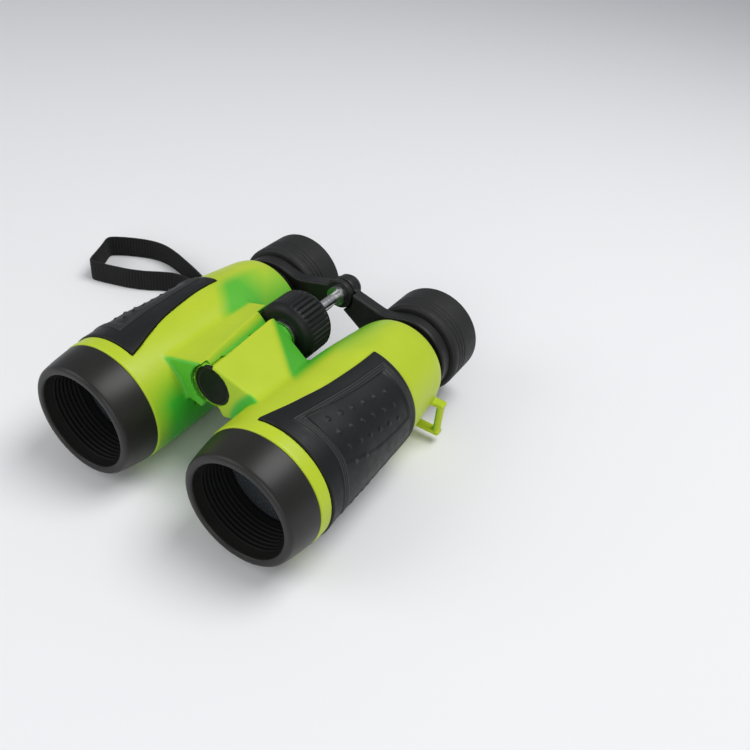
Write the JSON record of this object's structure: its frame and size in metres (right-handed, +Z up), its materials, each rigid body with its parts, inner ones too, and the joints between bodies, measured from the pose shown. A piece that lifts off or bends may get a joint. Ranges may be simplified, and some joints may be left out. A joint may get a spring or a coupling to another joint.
{
  "type": "binoculars",
  "caption": "Child-size centre-focus binoculars with bright plastic barrels, soft black grips, a folding hinge bridge, sliding eyepieces and a short woven carry loop.",
  "frame": {"origin": "middle of the underside, on the surface that the binoculars lie on", "axes": "+Y from the objectives to the eyepieces, +X across from the left barrel (the one with the loop) to the right barrel, +Z up"},
  "size_m": [0.1716, 0.112, 0.0445],
  "materials": {
    "shell_plastic": "satin moulded",
    "grip_rubber": "fine matt",
    "ring_plastic": "satin",
    "black_plastic": "satin",
    "lens_glass": "clear",
    "steel": "turned",
    "brass": "turned",
    "eyecup_rubber": "soft matt",
    "webbing": "woven"
  },
  "bodies": {
    "left_half": {"left_body": "shell_plastic", "left_grip": "grip_rubber", "left_objective_ring": "ring_plastic", "left_objective_retainer": "black_plastic", "left_objective_lens": "lens_glass", "left_baffle_tube": "black_plastic", "hinge_pin": "steel", "hinge_washer": "steel", "thrust_washer": "steel", "retaining_clip": "steel", "carry_loop": "webbing"},
    "right_half": {"right_body": "shell_plastic", "right_grip": "grip_rubber", "right_objective_ring": "ring_plastic", "right_objective_retainer": "black_plastic", "right_objective_lens": "lens_glass", "right_baffle_tube": "black_plastic", "hinge_cap": "black_plastic"},
    "focus_wheel": {"focus_wheel": "black_plastic", "focus_nut": "brass"},
    "left_eyepiece": {"left_eyepiece_arm": "black_plastic", "left_eyepiece_tube": "black_plastic", "left_eye_lens": "lens_glass", "left_eye_lens_retainer": "black_plastic", "left_eyecup": "eyecup_rubber", "focus_rod": "steel", "rod_nut": "black_plastic"},
    "right_eyepiece": {"right_eyepiece_arm": "black_plastic", "right_eyepiece_tube": "black_plastic", "right_eye_lens": "lens_glass", "right_eye_lens_retainer": "black_plastic", "right_eyecup": "eyecup_rubber"}
  },
  "joints": [
    {"name": "eye_spacing_hinge", "type": "hinge", "parent": "left_half", "child": "right_half", "pos_m": [0, 0, 0.0339], "axis": [0, 1, 0], "range_deg": [-5, 25]},
    {"name": "focus_turn", "type": "hinge", "parent": "left_half", "child": "focus_wheel", "pos_m": [0, 0, 0.0339], "axis": [0, 1, 0], "range_deg": [-135, 135]},
    {"name": "left_focus_slide", "type": "slide", "parent": "left_half", "child": "left_eyepiece", "axis": [0, 1, 0], "range_m": [-0.0032, 0.0032]},
    {"name": "right_focus_slide", "type": "slide", "parent": "right_half", "child": "right_eyepiece", "axis": [0, 1, 0], "range_m": [-0.0032, 0.0032]}
  ],
  "couplings": [
    {"joint": "left_focus_slide", "follows": "focus_turn", "m_per_rad": 0.00127},
    {"joint": "right_focus_slide", "follows": "focus_turn", "m_per_rad": 0.00127}
  ]
}
